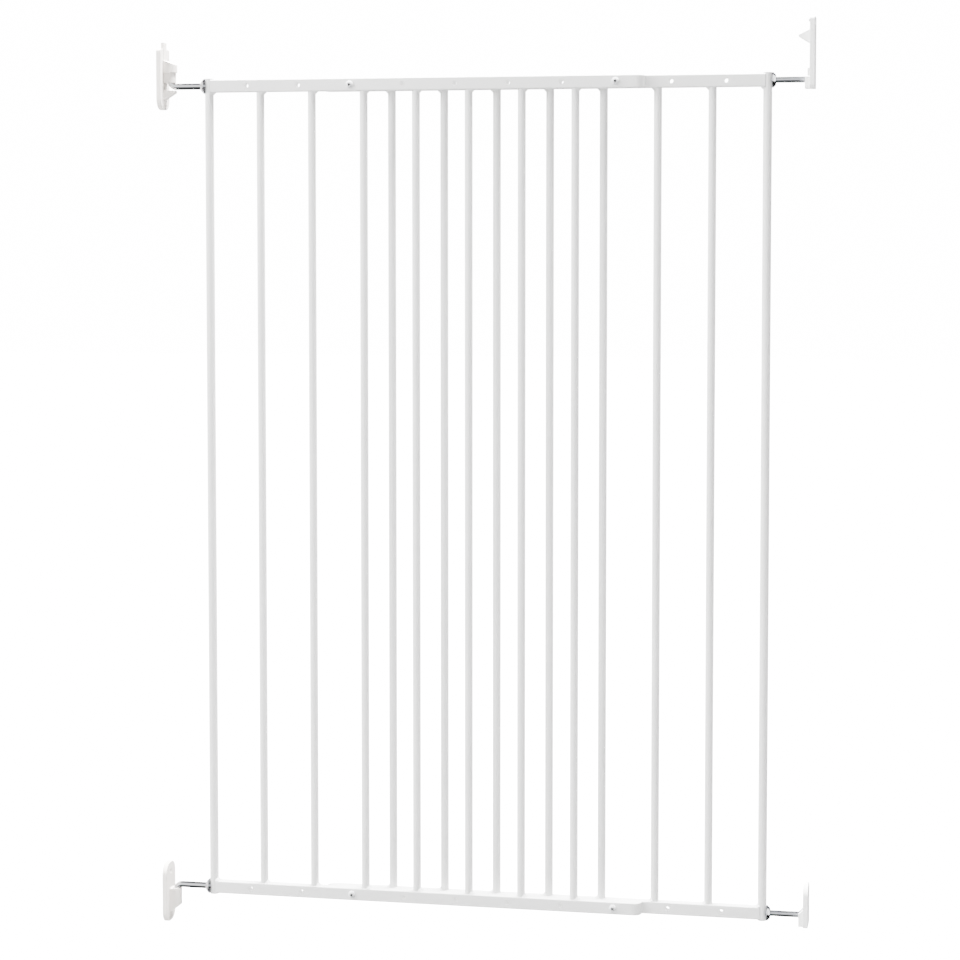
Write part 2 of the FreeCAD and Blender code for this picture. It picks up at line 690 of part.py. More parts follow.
def buildLatchSlide():
    body = newBody("latch_slide", ("right_wall", "back_line", "high_rod"), TURNED)
    face = "plate_thick + free_gap"
    addRunner(body, "nib_low", "tab_top", "tab_top")
    feature(body, "AdditiveBox", (face, "-nib_wide / 2", "nib_low"),
            {"Length": "nib_thick", "Width": "nib_wide", "Height": "nib_top - nib_low"})
    tab = [(face, "tab_low"), ("tab_reach", "tab_peak - tab_edge / 2"),
           ("tab_reach", "tab_peak + tab_edge / 2"), (face, "tab_top")]
    pad(body, drawOutlines(body, "XZ_Plane", tab), "tab_wide")


def buildLowerLatch():
    body = newBody("lower_latch_bracket", ("right_wall", "back_line", "low_rod"), TURNED)
    addWallPlate(body, "cup_top", "cup_bottom", "big_round", "small_round")
    addCradle(body, "cup_bottom", "cup_flare")
    addWallHole(body, "cup_screw", "plate_thick")
    addWallHole(body, "cup_screw_low", "plate_thick")


for build in (buildUpperHinge, buildHingeLock, buildLowerHinge, buildUpperLatch, buildLatchSlide,
              buildLowerLatch):
    build()


# Check and write.
doc.recompute()
for thing in doc.Objects:
    if {"Invalid", "Error"} & set(thing.State):
        raise ValueError(f"{thing.Label} failed: {thing.State}")
for piece in nodes:
    if piece.Shape.isNull() or not piece.Shape.isValid() or not piece.Shape.Solids:
        raise ValueError(f"{piece.Label} has no valid solid")

os.makedirs("parts", exist_ok=True)
for piece in nodes:
    piece.Shape.exportStep(f"parts/{piece.Label}.step")
print(len(nodes), "nodes,", sum(len(piece.Shape.Solids) for piece in nodes), "solids")
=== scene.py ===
import json
import math
import random

import bpy
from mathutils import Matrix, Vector


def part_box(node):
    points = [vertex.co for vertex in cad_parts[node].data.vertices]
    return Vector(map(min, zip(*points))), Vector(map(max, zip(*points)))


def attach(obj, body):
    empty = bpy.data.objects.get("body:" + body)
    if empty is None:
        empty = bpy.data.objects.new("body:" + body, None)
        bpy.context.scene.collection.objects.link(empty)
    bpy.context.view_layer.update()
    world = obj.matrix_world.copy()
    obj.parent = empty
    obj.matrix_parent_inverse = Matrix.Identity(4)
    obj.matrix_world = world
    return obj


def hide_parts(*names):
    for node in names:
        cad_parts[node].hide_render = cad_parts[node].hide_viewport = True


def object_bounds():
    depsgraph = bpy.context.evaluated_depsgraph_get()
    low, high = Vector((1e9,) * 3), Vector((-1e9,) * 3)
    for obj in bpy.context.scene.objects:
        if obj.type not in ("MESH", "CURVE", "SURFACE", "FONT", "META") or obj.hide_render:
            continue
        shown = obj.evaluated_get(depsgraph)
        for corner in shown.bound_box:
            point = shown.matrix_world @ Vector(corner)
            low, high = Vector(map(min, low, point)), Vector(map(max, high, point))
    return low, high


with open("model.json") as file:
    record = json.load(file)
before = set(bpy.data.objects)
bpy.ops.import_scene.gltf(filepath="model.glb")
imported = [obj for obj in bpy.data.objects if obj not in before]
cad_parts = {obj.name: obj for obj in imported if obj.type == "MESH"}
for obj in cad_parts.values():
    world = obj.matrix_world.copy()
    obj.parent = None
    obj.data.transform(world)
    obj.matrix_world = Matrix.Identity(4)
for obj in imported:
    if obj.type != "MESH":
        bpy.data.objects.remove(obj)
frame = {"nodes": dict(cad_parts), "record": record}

cadLow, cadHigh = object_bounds()
nodes = frame["nodes"]
bodyOf = {name: body for body, names in frame["record"]["behaviour"]["bodies"].items() for name in names}
slotOf = {row["node"]: row["material_slot"] for row in frame["record"]["subparts"]}
mm = 0.001
random.seed(7)


# Small helpers for working with one object at a time.
def deselectAll():
    if bpy.context.object and bpy.context.object.mode != "OBJECT":
        bpy.ops.object.mode_set(mode="OBJECT")
    bpy.ops.object.select_all(action="DESELECT")


def choose(piece):
    deselectAll()
    piece.select_set(True)
    bpy.context.view_layer.objects.active = piece
    return piece


def editMode(piece, part="VERT"):
    choose(piece)
    bpy.ops.object.mode_set(mode="EDIT")
    bpy.ops.mesh.select_mode(type=part)
    bpy.ops.mesh.select_all(action="DESELECT")


def objectMode():
    bpy.ops.object.mode_set(mode="OBJECT")


# Selects the faces, edges or vertices that the test says yes to, by place, and goes back to editing.
def selectWhere(piece, part, test):
    objectMode()
    items = {"VERT": piece.data.vertices, "EDGE": piece.data.edges, "FACE": piece.data.polygons}[part]
    for item in items:
        item.select = bool(test(item))
    bpy.ops.object.mode_set(mode="EDIT")


def edgeEnds(piece, edge):
    return [piece.data.vertices[index].co for index in edge.vertices]


def addModifier(piece, kind, **settings):
    choose(piece)
    modifier = piece.modifiers.new(kind.title(), kind)
    for name, value in settings.items():
        setattr(modifier, name, value)
    bpy.ops.object.modifier_apply(modifier=modifier.name)


def smooth(piece, angle=32):
    choose(piece)
    bpy.ops.object.shade_smooth_by_angle(angle=math.radians(angle))


# Keeps broad flat faces flat to the light where their rounded edges are shaded smoothly.
def evenFlats(piece):
    addModifier(piece, "WEIGHTED_NORMAL", mode="FACE_AREA", weight=50, keep_sharp=True)


def facesOut(piece):
    editMode(piece)
    bpy.ops.mesh.select_all(action="SELECT")
    bpy.ops.mesh.remove_doubles(threshold=0.002 * mm)
    bpy.ops.mesh.normals_make_consistent(inside=False)
    objectMode()


def placeInMesh(piece):
    choose(piece)
    bpy.ops.object.transform_apply(location=True, rotation=True, scale=True)


def copyOf(piece, name, shift=(0, 0, 0), turn=None):
    copy = bpy.data.objects.new(name, piece.data.copy())
    bpy.context.scene.collection.objects.link(copy)
    copy.location = shift
    if turn:
        copy.rotation_euler = turn
    placeInMesh(copy)
    return copy


def joinAll(pieces, name):
    deselectAll()
    for piece in pieces:
        piece.select_set(True)
    bpy.context.view_layer.objects.active = pieces[0]
    bpy.ops.object.join()
    pieces[0].name = name
    return pieces[0]


def boolean(piece, tool, operation):
    addModifier(piece, "BOOLEAN", object=tool, operation=operation, solver="EXACT")
    bpy.data.objects.remove(tool)
    facesOut(piece)


# A new piece stands for a CAD node: it takes the node's body, hides the node, and gets the finish it is
# given.
def standFor(piece, material, name):
    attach(piece, bodyOf[name])
    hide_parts(name)
    piece.data.materials.clear()
    piece.data.materials.append(finish[material])
    return piece


# Node groups that several finishes share.
def newGroup(name, inputs, outputs):
    group = bpy.data.node_groups.new(name, "ShaderNodeTree")
    for socket, value in inputs.items():
        made = group.interface.new_socket(name=socket, in_out="INPUT", socket_type="NodeSocketFloat")
        made.default_value = value
    for socket in outputs:
        group.interface.new_socket(name=socket, in_out="OUTPUT", socket_type="NodeSocketFloat")
    entry = group.nodes.new("NodeGroupInput")
    leave = group.nodes.new("NodeGroupOutput")
    return group, entry, leave


def addNode(tree, kind, **settings):
    made = tree.nodes.new(kind)
    for name, value in settings.items():
        setattr(made, name, value)
    return made


# The faint ripple of sprayed and baked powder, with a slow drift in its shade.
def makeRippleGroup():
    group, entry, leave = newGroup("powderRipple", {"Grain": 700.0, "Drift": 6.0}, ["Ripple", "Shade"])
    place = addNode(group, "ShaderNodeTexCoord")
    fine = addNode(group, "ShaderNodeTexNoise")
    fine.inputs["Detail"].default_value = 2.0
    fine.inputs["Roughness"].default_value = 0.45
    slow = addNode(group, "ShaderNodeTexNoise")
    slow.inputs["Detail"].default_value = 3.0
    link = group.links.new
    link(place.outputs["Object"], fine.inputs["Vector"])
    link(place.outputs["Object"], slow.inputs["Vector"])
    link(entry.outputs["Grain"], fine.inputs["Scale"])
    link(entry.outputs["Drift"], slow.inputs["Scale"])
    link(fine.outputs["Fac"], leave.inputs["Ripple"])
    link(slow.outputs["Fac"], leave.inputs["Shade"])
    return group


# Drawing marks on bright metal: noise stretched along one axis.
def makeDrawnGroup():
    group, entry, leave = newGroup("drawnMetal", {"Along": 60.0, "Across": 2600.0}, ["Mark"])
    place = addNode(group, "ShaderNodeTexCoord")
    stretch = addNode(group, "ShaderNodeCombineXYZ")
    scaled = addNode(group, "ShaderNodeVectorMath", operation="MULTIPLY")
    marks = addNode(group, "ShaderNodeTexNoise")
    marks.inputs["Scale"].default_value = 1.0
    marks.inputs["Detail"].default_value = 3.0
    link = group.links.new
    link(entry.outputs["Along"], stretch.inputs["X"])
    link(entry.outputs["Across"], stretch.inputs["Y"])
    link(entry.outputs["Across"], stretch.inputs["Z"])
    link(place.outputs["Object"], scaled.inputs[0])
    link(stretch.outputs["Vector"], scaled.inputs[1])
    link(scaled.outputs["Vector"], marks.inputs["Vector"])
    link(marks.outputs["Fac"], leave.inputs["Mark"])
    return group


rippleGroup = makeRippleGroup()
drawnGroup = makeDrawnGroup()


def newMaterial(name, metallic, coat=0.0, ior=1.5):
    material = bpy.data.materials.new(name)
    material.use_nodes = True
    tree = material.node_tree
    shader = tree.nodes["Principled BSDF"]
    shader.inputs["Metallic"].default_value = metallic
    shader.inputs["IOR"].default_value = ior
    shader.inputs["Coat Weight"].default_value = coat
    shader.inputs["Coat Roughness"].default_value = 0.25
    return material, tree, shader


# Noise lies mostly in the middle of its range, so the colours change over the middle only.
def addRamp(tree, source, low, high):
    ramp = tree.nodes.new("ShaderNodeValToRGB")
    for element, position, colour in zip(ramp.color_ramp.elements, (0.3, 0.7), (low, high)):
        element.position = position
        element.color = (*colour, 1.0)
    tree.links.new(source, ramp.inputs["Fac"])
    return ramp.outputs["Color"]


def addRange(tree, source, low, high):
    spread = tree.nodes.new("ShaderNodeMapRange")
    spread.inputs["To Min"].default_value = low
    spread.inputs["To Max"].default_value = high
    tree.links.new(source, spread.inputs["Value"])
    return spread.outputs["Result"]


def addBump(tree, height, distance, shader):
    bump = tree.nodes.new("ShaderNodeBump")
    bump.inputs["Distance"].default_value = distance
    tree.links.new(height, bump.inputs["Height"])
    tree.links.new(bump.outputs["Normal"], shader.inputs["Normal"])


def ripplyMaterial(name, look):
    material, tree, shader = newMaterial(name, 0.0, look["coat"])
    ripple = tree.nodes.new("ShaderNodeGroup")
    ripple.node_tree = rippleGroup
    ripple.inputs["Grain"].default_value = look["grain"]
    ripple.inputs["Drift"].default_value = look["drift"]
    colour = addRamp(tree, ripple.outputs["Shade"], look["low"], look["high"])
    tree.links.new(colour, shader.inputs["Base Color"])
    rough = addRange(tree, ripple.outputs["Ripple"], *look["rough"])
    tree.links.new(rough, shader.inputs["Roughness"])
    addBump(tree, ripple.outputs["Ripple"], look["bump"], shader)
    if "glow" in look:    # stands for light that bounces about inside a white tube
        shader.inputs["Emission Color"].default_value = (1, 1, 1, 1)
        shader.inputs["Emission Strength"].default_value = look["glow"]
    return material


def metalMaterial(name, look):
    material, tree, shader = newMaterial(name, look["metal"])
    drawn = tree.nodes.new("ShaderNodeGroup")
    drawn.node_tree = drawnGroup
    drawn.inputs["Along"].default_value = look["along"]
    drawn.inputs["Across"].default_value = look["across"]
    colour = addRamp(tree, drawn.outputs["Mark"], look["low"], look["high"])
    tree.links.new(colour, shader.inputs["Base Color"])
    rough = addRange(tree, drawn.outputs["Mark"], *look["rough"])
    tree.links.new(rough, shader.inputs["Roughness"])
    addBump(tree, drawn.outputs["Mark"], look["bump"], shader)
    return material


finishes = {
    "powderWhite": {"low": (0.66, 0.66, 0.655), "high": (0.71, 0.71, 0.705), "rough": (0.34, 0.46),
                    "grain": 620.0, "drift": 7.0, "bump": 0.05 * mm, "coat": 0.15},
    # A lighter powder with a glow for the faces inside the rails: painted light that stands for light
    # bouncing about inside a white tube.
    "paintedGlowInside": {"low": (0.72, 0.72, 0.715), "high": (0.76, 0.76, 0.755), "rough": (0.5, 0.6),
                     "grain": 620.0, "drift": 7.0, "bump": 0.05 * mm, "coat": 0.0, "glow": 0.7},
    # One bracket plastic in two copies: the latch copy painted lighter and the hinge copy darker, as painted
    # light and shade for the brighter light on the right-hand brackets; the hinge copy is also warmer in
    # tone.
    "hingeWhiteShaded": {"low": (0.79, 0.745, 0.70), "high": (0.83, 0.785, 0.74), "rough": (0.48, 0.62),
                   "grain": 2400.0, "drift": 12.0, "bump": 0.02 * mm, "coat": 0.0},
    "latchWhiteLit": {"low": (0.88, 0.88, 0.87), "high": (0.92, 0.92, 0.91), "rough": (0.48, 0.62),
                   "grain": 2400.0, "drift": 12.0, "bump": 0.02 * mm, "coat": 0.0},
    "capWhite": {"low": (0.64, 0.64, 0.635), "high": (0.68, 0.68, 0.675), "rough": (0.42, 0.55),
                 "grain": 2000.0, "drift": 20.0, "bump": 0.015 * mm, "coat": 0.0},
    "bushNatural": {"low": (0.58, 0.58, 0.56), "high": (0.64, 0.64, 0.62), "rough": (0.4, 0.5),
                    "grain": 1800.0, "drift": 20.0, "bump": 0.01 * mm, "coat": 0.0},
}
metals = {
    "brightRod": {"metal": 1.0, "low": (0.55, 0.56, 0.58), "high": (0.68, 0.69, 0.71), "rough": (0.07, 0.14),
                  "along": 40.0, "across": 1800.0, "bump": 0.004 * mm},
    "zincPlate": {"metal": 1.0, "low": (0.56, 0.57, 0.60), "high": (0.70, 0.71, 0.73), "rough": (0.13, 0.24),
                  "along": 300.0, "across": 900.0, "bump": 0.006 * mm},
    "brightZinc": {"metal": 0.45, "low": (0.78, 0.79, 0.80), "high": (0.88, 0.88, 0.89), "rough": (0.2, 0.32),
                   "along": 500.0, "across": 700.0, "bump": 0.006 * mm},
    # A near-black metal for the screws' cross recesses: painted shade.
    "paintedRecessShade": {"metal": 1.0, "low": (0.05, 0.05, 0.055), "high": (0.11, 0.11, 0.12), "rough": (0.4, 0.55),
                   "along": 500.0, "across": 700.0, "bump": 0.006 * mm},
    "plainSteel": {"metal": 1.0, "low": (0.40, 0.40, 0.41), "high": (0.52, 0.52, 0.53), "rough": (0.3, 0.45),
                   "along": 200.0, "across": 900.0, "bump": 0.01 * mm},
}
finishOfSlot = {"powder_coat": "powderWhite", "bracket_plastic": "latchWhiteLit", "cap_plastic": "capWhite",
                "bush_plastic": "bushNatural", "zinc_rod": "brightRod", "zinc_fastener": "zincPlate",
                "plug_steel": "plainSteel"}
finish = {name: ripplyMaterial(name, look) for name, look in finishes.items()}
finish.update({name: metalMaterial(name, look) for name, look in metals.items()})
for name, node in nodes.items():
    node.data.materials.clear()
    node.data.materials.append(finish[finishOfSlot[slotOf[name]]])
print("finishes ready")


# A copy of a CAD node as one clean mesh, so that its edges can be rounded.
def cleanCopy(name, angle=1.5):
    copy = bpy.data.objects.new(f"{name}_shell", nodes[name].data.copy())
    bpy.context.scene.collection.objects.link(copy)
    editMode(copy)
    bpy.ops.mesh.select_all(action="SELECT")
    bpy.ops.mesh.remove_doubles(threshold=0.002 * mm)
    bpy.ops.mesh.dissolve_limited(angle_limit=math.radians(angle))
    bpy.ops.mesh.normals_make_consistent(inside=False)
    objectMode()
    return copy


moulded = {
    "edge": 0.5 * mm,     # rounding of the moulded edges
    "capEdge": 0.3 * mm,
    "sharp": 40,          # edges that turn more than this are rounded
    "steps": 3,
}


def buildMoulded(name, material, width):
    shell = cleanCopy(name)
    addModifier(shell, "BEVEL", width=width, segments=moulded["steps"], limit_method="ANGLE",
                angle_limit=math.radians(moulded["sharp"]), use_clamp_overlap=True)
    smooth(shell, angle=moulded["sharp"])
    evenFlats(shell)
    standFor(shell, material, name)


# Hinge pieces take the darker copy of the bracket plastic and latch pieces the lighter one: painted shade and
# painted light.
for name in ("upper_hinge_bracket", "lower_hinge_bracket", "hinge_lock_slide"):
    buildMoulded(name, "hingeWhiteShaded", moulded["edge"])
for name in ("upper_latch_bracket", "lower_latch_bracket", "latch_slide"):
    buildMoulded(name, "latchWhiteLit", moulded["edge"])
print("brackets moulded")


rail = {
    "rim": 0.35 * mm,     # powder coat rounds the rims of the holes
    "wall": 1 * mm,
    "reach": 3 * mm,      # the holes' rims lie within this height of the rail's middle
    "piece": 2 * mm,      # a rim's edges are shorter than this
}


# A rail's hole rims are rounded, and the faces inside its tube get their own lighter finish with a glow:
# painted light that stands for light bouncing about inside the tube.
def buildRail(name):
    shell = cleanCopy(name)
    low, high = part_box(name)
    middle, half = (low + high) / 2, (high - low) / 2
    skin = 0.99 * rail["wall"]

    def rim(edge):
        a, b = edgeEnds(shell, edge)
        onFace = max(abs(a.y - b.y), min(abs(a.y - low.y), abs(a.y - high.y))) < 0.01 * mm
        nearMiddle = max(abs(a.z - middle.z), abs(b.z - middle.z)) < rail["reach"]
        return onFace and nearMiddle and (a - b).length < rail["piece"]

    def inside(face):
        spots = [shell.data.vertices[index].co - middle for index in face.vertices]
        return all(abs(spot.y) < half.y - skin and abs(spot.z) < half.z - skin for spot in spots)

    editMode(shell, "EDGE")
    selectWhere(shell, "EDGE", rim)
    bpy.ops.mesh.bevel(offset=rail["rim"], segments=2)
    objectMode()
    hidden = [face.index for face in shell.data.polygons if inside(face)]
    smooth(shell, angle=35)
    evenFlats(shell)
    standFor(shell, "powderWhite", name)
    # The faces inside the tube take the lighter, glowing finish: painted light.
    shell.data.materials.append(finish["paintedGlowInside"])
    for index in hidden:
        shell.data.polygons[index].material_index = 1


for name in ("left_bottom_rail", "left_top_rail", "right_bottom_rail", "right_top_rail"):
    buildRail(name)
for name in ("left_rail_caps", "right_rail_caps"):
    buildMoulded(name, "capWhite", moulded["capEdge"])
print("rails rounded")


bead = {
    "leg": 5.4 * mm,      # along the rail and up the bar
    "hollow": 0.36,       # the bead's face is hollow: where its middle lies between the legs
    "sweep": 130,         # how far a bead wraps round its bar, in degrees
    "turns": 12,
    "waves": 9,
    "ripple": 0.09,
    "thin": 0.8,          # how much a bead thins towards its ends
    "lean": 0.12,         # how far the beads are turned at random, in radians
    "sink": 0.4 * mm,     # into the bar and the rail
}


# A weld bead against a bar's side: a hollow triangle spun round the bar's axis, thin at its ends.
def buildBead(radius):
    deselectAll()
    bpy.ops.mesh.primitive_plane_add(size=bead["leg"], rotation=(math.pi / 2, 0, 0))
    piece = bpy.context.object
    placeInMesh(piece)
    near = radius - bead["sink"]
    for vertex in piece.data.vertices:
        out, up = vertex.co.x > 0, vertex.co.z > 0
        share = bead["hollow"] if out and up else 1
        vertex.co = (near + share * bead["leg"] * out, 0, share * bead["leg"] * up - bead["sink"])
    half = math.radians(bead["sweep"] / 2)
    choose(piece)
    bpy.ops.object.mode_set(mode="EDIT")
    bpy.ops.mesh.select_all(action="SELECT")
    bpy.ops.mesh.spin(steps=bead["turns"], angle=2 * half, center=(0, 0, 0), axis=(0, 0, 1))
    objectMode()
    reach = [math.atan2(vertex.co.y, vertex.co.x) for vertex in piece.data.vertices]
    middle = (min(reach) + max(reach)) / 2
    for vertex, angle in zip(piece.data.vertices, reach):
        turn = (angle - middle) / half
        wave = 1 + bead["ripple"] * math.sin(bead["waves"] * turn)
        size = (1 - bead["thin"] * abs(turn) ** 3) * wave
        out = near + (math.hypot(vertex.co.x, vertex.co.y) - near) * size
        height = (vertex.co.z + bead["sink"]) * size - bead["sink"]
        vertex.co = (out * math.cos(turn * half), out * math.sin(turn * half), height)
    facesOut(piece)
    addModifier(piece, "SUBSURF", levels=1, render_levels=1)
    smooth(piece, angle=60)
    return piece


# Two beads on each upright, on the side that `facing` turns to: one on the bottom rail, one under the top.
def weldPanel(side, facing):
    uprights = [f"{side}_end_post"] + [f"{side}_bar_{index}" for index in range(1, 8)]
    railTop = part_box(f"{side}_bottom_rail")[1].z
    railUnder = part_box(f"{side}_top_rail")[0].z
    beads = []
    for name in uprights:
        low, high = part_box(name)
        middle = (low + high) / 2
        master = buildBead((high.x - low.x) / 2)
        for height, over in ((railTop, 0), (railUnder, math.pi)):
            lean = random.uniform(-bead["lean"], bead["lean"])
            copy = copyOf(master, "bead", (0, 0, 0), (over, 0, 0))
            beads.append(copyOf(copy, "bead", (middle.x, middle.y, height), (0, 0, facing + lean)))
            bpy.data.objects.remove(copy)
        bpy.data.objects.remove(master)
    standFor(joinAll(beads, f"{side}_weld_beads"), "powderWhite", f"{side}_welds")


weldPanel("left", 0)
weldPanel("right", math.pi)
print("welds laid")


# An outline turned about Z. Its points are (radius, height), and a radius of 0 closes it.
def lathe(outline, steps):
    deselectAll()
    bpy.ops.mesh.primitive_plane_add(size=1 * mm)
    piece = bpy.context.object
    bpy.ops.object.mode_set(mode="EDIT")
    bpy.ops.mesh.select_all(action="SELECT")
    bpy.ops.mesh.merge(type="CENTER")
    here = Vector(outline[0])
    bpy.ops.transform.translate(value=(here.x, 0, here.y))
    for spot in outline[1:]:
        step = Vector(spot) - here
        bpy.ops.mesh.extrude_region_move(TRANSFORM_OT_translate={"value": (step.x, 0, step.y)})
        here = Vector(spot)
    bpy.ops.mesh.select_all(action="SELECT")
    bpy.ops.mesh.spin(steps=steps, angle=2 * math.pi, center=(0, 0, 0), axis=(0, 0, 1))
    objectMode()
    facesOut(piece)
    return piece


# A hexagon standing on the origin, its corners rounded and its top chamfered in the lathe.
def hexagon(flats, height, chamfer, slope=30):
    deselectAll()
    bpy.ops.mesh.primitive_cylinder_add(vertices=6, radius=flats / math.sqrt(3), depth=height,
                                        location=(0, 0, height / 2))
    piece = bpy.context.object
    placeInMesh(piece)
    editMode(piece, "EDGE")

    def corner(edge):
        a, b = edgeEnds(piece, edge)
        return abs(a.z - b.z) > height / 2

    selectWhere(piece, "EDGE", corner)
    bpy.ops.mesh.bevel(offset=0.2 * mm, segments=2)
    objectMode()
    inside = flats / 2 - chamfer
    fall = math.tan(math.radians(slope))
    turned = lathe([(0, -1 * mm), (flats, -1 * mm), (flats, height - (flats - inside) * fall),
                    (inside, height), (0, height)], steps=72)
    boolean(piece, turned, "INTERSECT")
    return piece


nut = {
    "flats": 13 * mm,
    "tall": 8 * mm,
    "flange": 19 * mm,
    "rim": 1.4 * mm,
    "slope": 3 * mm,      # the flange falls to the flats over this length
    "bore": 8.2 * mm,
    "chamfer": 1.7 * mm,  # at the narrow end
    "chamferSlope": 45,
    "edge": 0.25 * mm,    # rounding of the flange's edge
    "turns": (0.35, 0.85),    # how each nut happens to stand, in radians
}


# A flared lock nut, flange down at the origin.
def buildLockNut():
    piece = hexagon(nut["flats"], nut["tall"], nut["chamfer"], nut["chamferSlope"])
    reach, rim, root, top = nut["flange"] / 2, nut["rim"], nut["flats"] / 2, nut["tall"]
    foot, edge = rim + nut["slope"], nut["edge"]
    flange = lathe([(0, 0), (reach - edge, 0), (reach, edge), (reach, rim - edge),
                    (reach - 0.1 * mm, rim - 0.05 * mm), (reach - 0.3 * mm, rim + 0.2 * mm),
                    (root + 0.2 * mm, foot - edge), (root - 0.1 * mm, foot), (0, foot)], steps=72)
    boolean(piece, flange, "UNION")
    hole = nut["bore"] / 2
    bore = lathe([(0, -1 * mm), (hole + 1.6 * mm, -1 * mm), (hole, 0.6 * mm), (hole, top - 0.3 * mm),
                  (hole + 1.3 * mm, top + 1 * mm), (0, top + 1 * mm)], steps=48)
    boolean(piece, bore, "DIFFERENCE")
    smooth(piece, angle=26)
    return piece


# A nut at the top and one at the bottom, each with its flange against its end post.
def fitLockNuts(name, label, flangeAtHigh):
    master = buildLockNut()
    low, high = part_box(name)
    reach = nut["flange"] / 2
    seat = high.x if flangeAtHigh else low.x
    turn = (0, -math.pi / 2, 0) if flangeAtHigh else (0, math.pi / 2, 0)
    made = []
    for height, stand in zip((low.z + reach, high.z - reach), nut["turns"]):
        spun = copyOf(master, "nut", (0, 0, 0), (0, 0, stand))
        made.append(copyOf(spun, "nut", (seat, (low.y + high.y) / 2, height), turn))
        bpy.data.objects.remove(spun)
    bpy.data.objects.remove(master)
    standFor(joinAll(made, label), "zincPlate", name)


fitLockNuts("hinge_lock_nuts", "hinge_flange_nuts", True)
fitLockNuts("latch_lock_nuts", "latch_flange_nuts", False)
print("lock nuts fitted")


thread = {
    "outer": 8 * mm,
    "core": 6.75 * mm,
    "pitch": 1.25 * mm,
    "flank": 0.38,        # a flank's share of the pitch
    "flat": 0.12,         # the share of the crest, and of the root
    "steps": 24,
    "point": 1.1 * mm,    # chamfer at the bolt's tip
}


# A threaded rod from the origin up +Z, chamfered at its top.
def buildThreadedRod(length):
    crest, core, pitch = thread["outer"] / 2, thread["core"] / 2, thread["pitch"]
    deselectAll()
    bpy.ops.mesh.primitive_plane_add(size=1 * mm)
    piece = bpy.context.object
    bpy.ops.object.mode_set(mode="EDIT")
    bpy.ops.mesh.select_all(action="SELECT")
    bpy.ops.mesh.merge(type="CENTER")
    bpy.ops.transform.translate(value=(core, 0, -2 * pitch))
    flank, flat = thread["flank"] * pitch, thread["flat"] * pitch
    for out, up in ((crest - core, flank), (0, flat), (core - crest, flank), (0, flat)):
        bpy.ops.mesh.extrude_region_move(TRANSFORM_OT_translate={"value": (out, 0, up)})
    objectMode()
    turns = int(length / pitch) + 5    # enough to be cut off at both ends
    addModifier(piece, "SCREW", axis="Z", angle=2 * math.pi, screw_offset=pitch, iterations=turns,
                steps=thread["steps"], render_steps=thread["steps"], use_merge_vertices=True,
                merge_threshold=0.01 * mm, use_normal_calculate=True)
    editMode(piece)
    for height, up in ((0, False), (length, True)):
        bpy.ops.mesh.select_all(action="SELECT")
        bpy.ops.mesh.bisect(plane_co=(0, 0, height), plane_no=(0, 0, 1), use_fill=True,
                            clear_inner=not up, clear_outer=up, threshold=0.0005 * mm)
    objectMode()
    facesOut(piece)
    for vertex in piece.data.vertices:
        past = vertex.co.z - (length - thread["point"])
        if past > 0:
            reach = math.hypot(vertex.co.x, vertex.co.y)
            share = min(1, (crest - past) / reach)
            vertex.co.x *= share
            vertex.co.y *= share
    smooth(piece, angle=25)
    return piece


for side in ("upper", "lower"):
    name = f"{side}_latch_bolt"
    low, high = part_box(name)
    master = buildThreadedRod(high.x - low.x)
    middle = (low + high) / 2
    bolt = copyOf(master, f"{side}_threaded_bolt", (low.x, middle.y, middle.z), (0, math.pi / 2, 0))
    bpy.data.objects.remove(master)
    standFor(bolt, "zincPlate", name)
print("bolts threaded")


screw = {
    "head": 9.5 * mm,
    "tall": 3 * mm,
    "shank": 5 * mm,
    "domed": 0.72,        # the share of the head's height that is its dome
    "crown": 0.75,        # lower makes the dome fuller
    "tip": 0.6 * mm,
    "slotWide": 2.4 * mm,
    "slotLong": 6.8 * mm,
    "slotDeep": 2.3 * mm,
    "slotTaper": 0.3,     # how much smaller a slot is at its bottom
    "slotTurn": 0.4,      # how the cross stands on the first screw, in radians
    "nextTurn": 0.9,      # how much further each next screw is turned
    "paintedShadeReach": 0.52,         # the recess's painted shade reaches out to this share of the slots' length
}


# A pan-head screw with a cross recess: its head's underside lies at the origin, its head up +Z.
def buildPanScrew(length):
    edge, tall, shank = screw["head"] / 2, screw["tall"], screw["shank"] / 2
    domed, tip, taper = screw["domed"], screw["tip"], screw["slotTaper"]
    dome = [(edge * math.sin(angle) ** screw["crown"], tall * (1 - domed + domed * math.cos(angle)))
            for angle in (math.radians(degrees) for degrees in (8, 20, 32, 44, 56, 68, 80, 90))]
    outline = [(0, tall)] + dome + [(edge - 0.05 * mm, 0.2 * mm), (edge - 0.3 * mm, 0), (shank, 0),
                                    (shank, tip - length), (shank - tip, -length), (0, -length)]
    piece = lathe(outline, steps=64)
    for turn in (screw["slotTurn"], screw["slotTurn"] + math.pi / 2):
        deselectAll()
        bpy.ops.mesh.primitive_cube_add(size=1, location=(0, 0, tall), rotation=(0, 0, turn),
                                        scale=(screw["slotLong"], screw["slotWide"], 2 * screw["slotDeep"]))
        slot = bpy.context.object
        placeInMesh(slot)
        editMode(slot, "FACE")
        selectWhere(slot, "FACE", lambda face: face.normal.z < -0.5)
        bpy.ops.transform.resize(value=(taper, taper, 1))
        objectMode()
        boolean(piece, slot, "DIFFERENCE")
    smooth(piece, angle=30)
    return piece


capNut = {
    "flats": 8 * mm,
    "tall": 4 * mm,
    "chamfer": 0.15 * mm,
    "dome": 7.4 * mm,
    "bore": 5.2 * mm,
    "sunk": 0.8 * mm,     # how far the dome starts below the hexagon's top
}


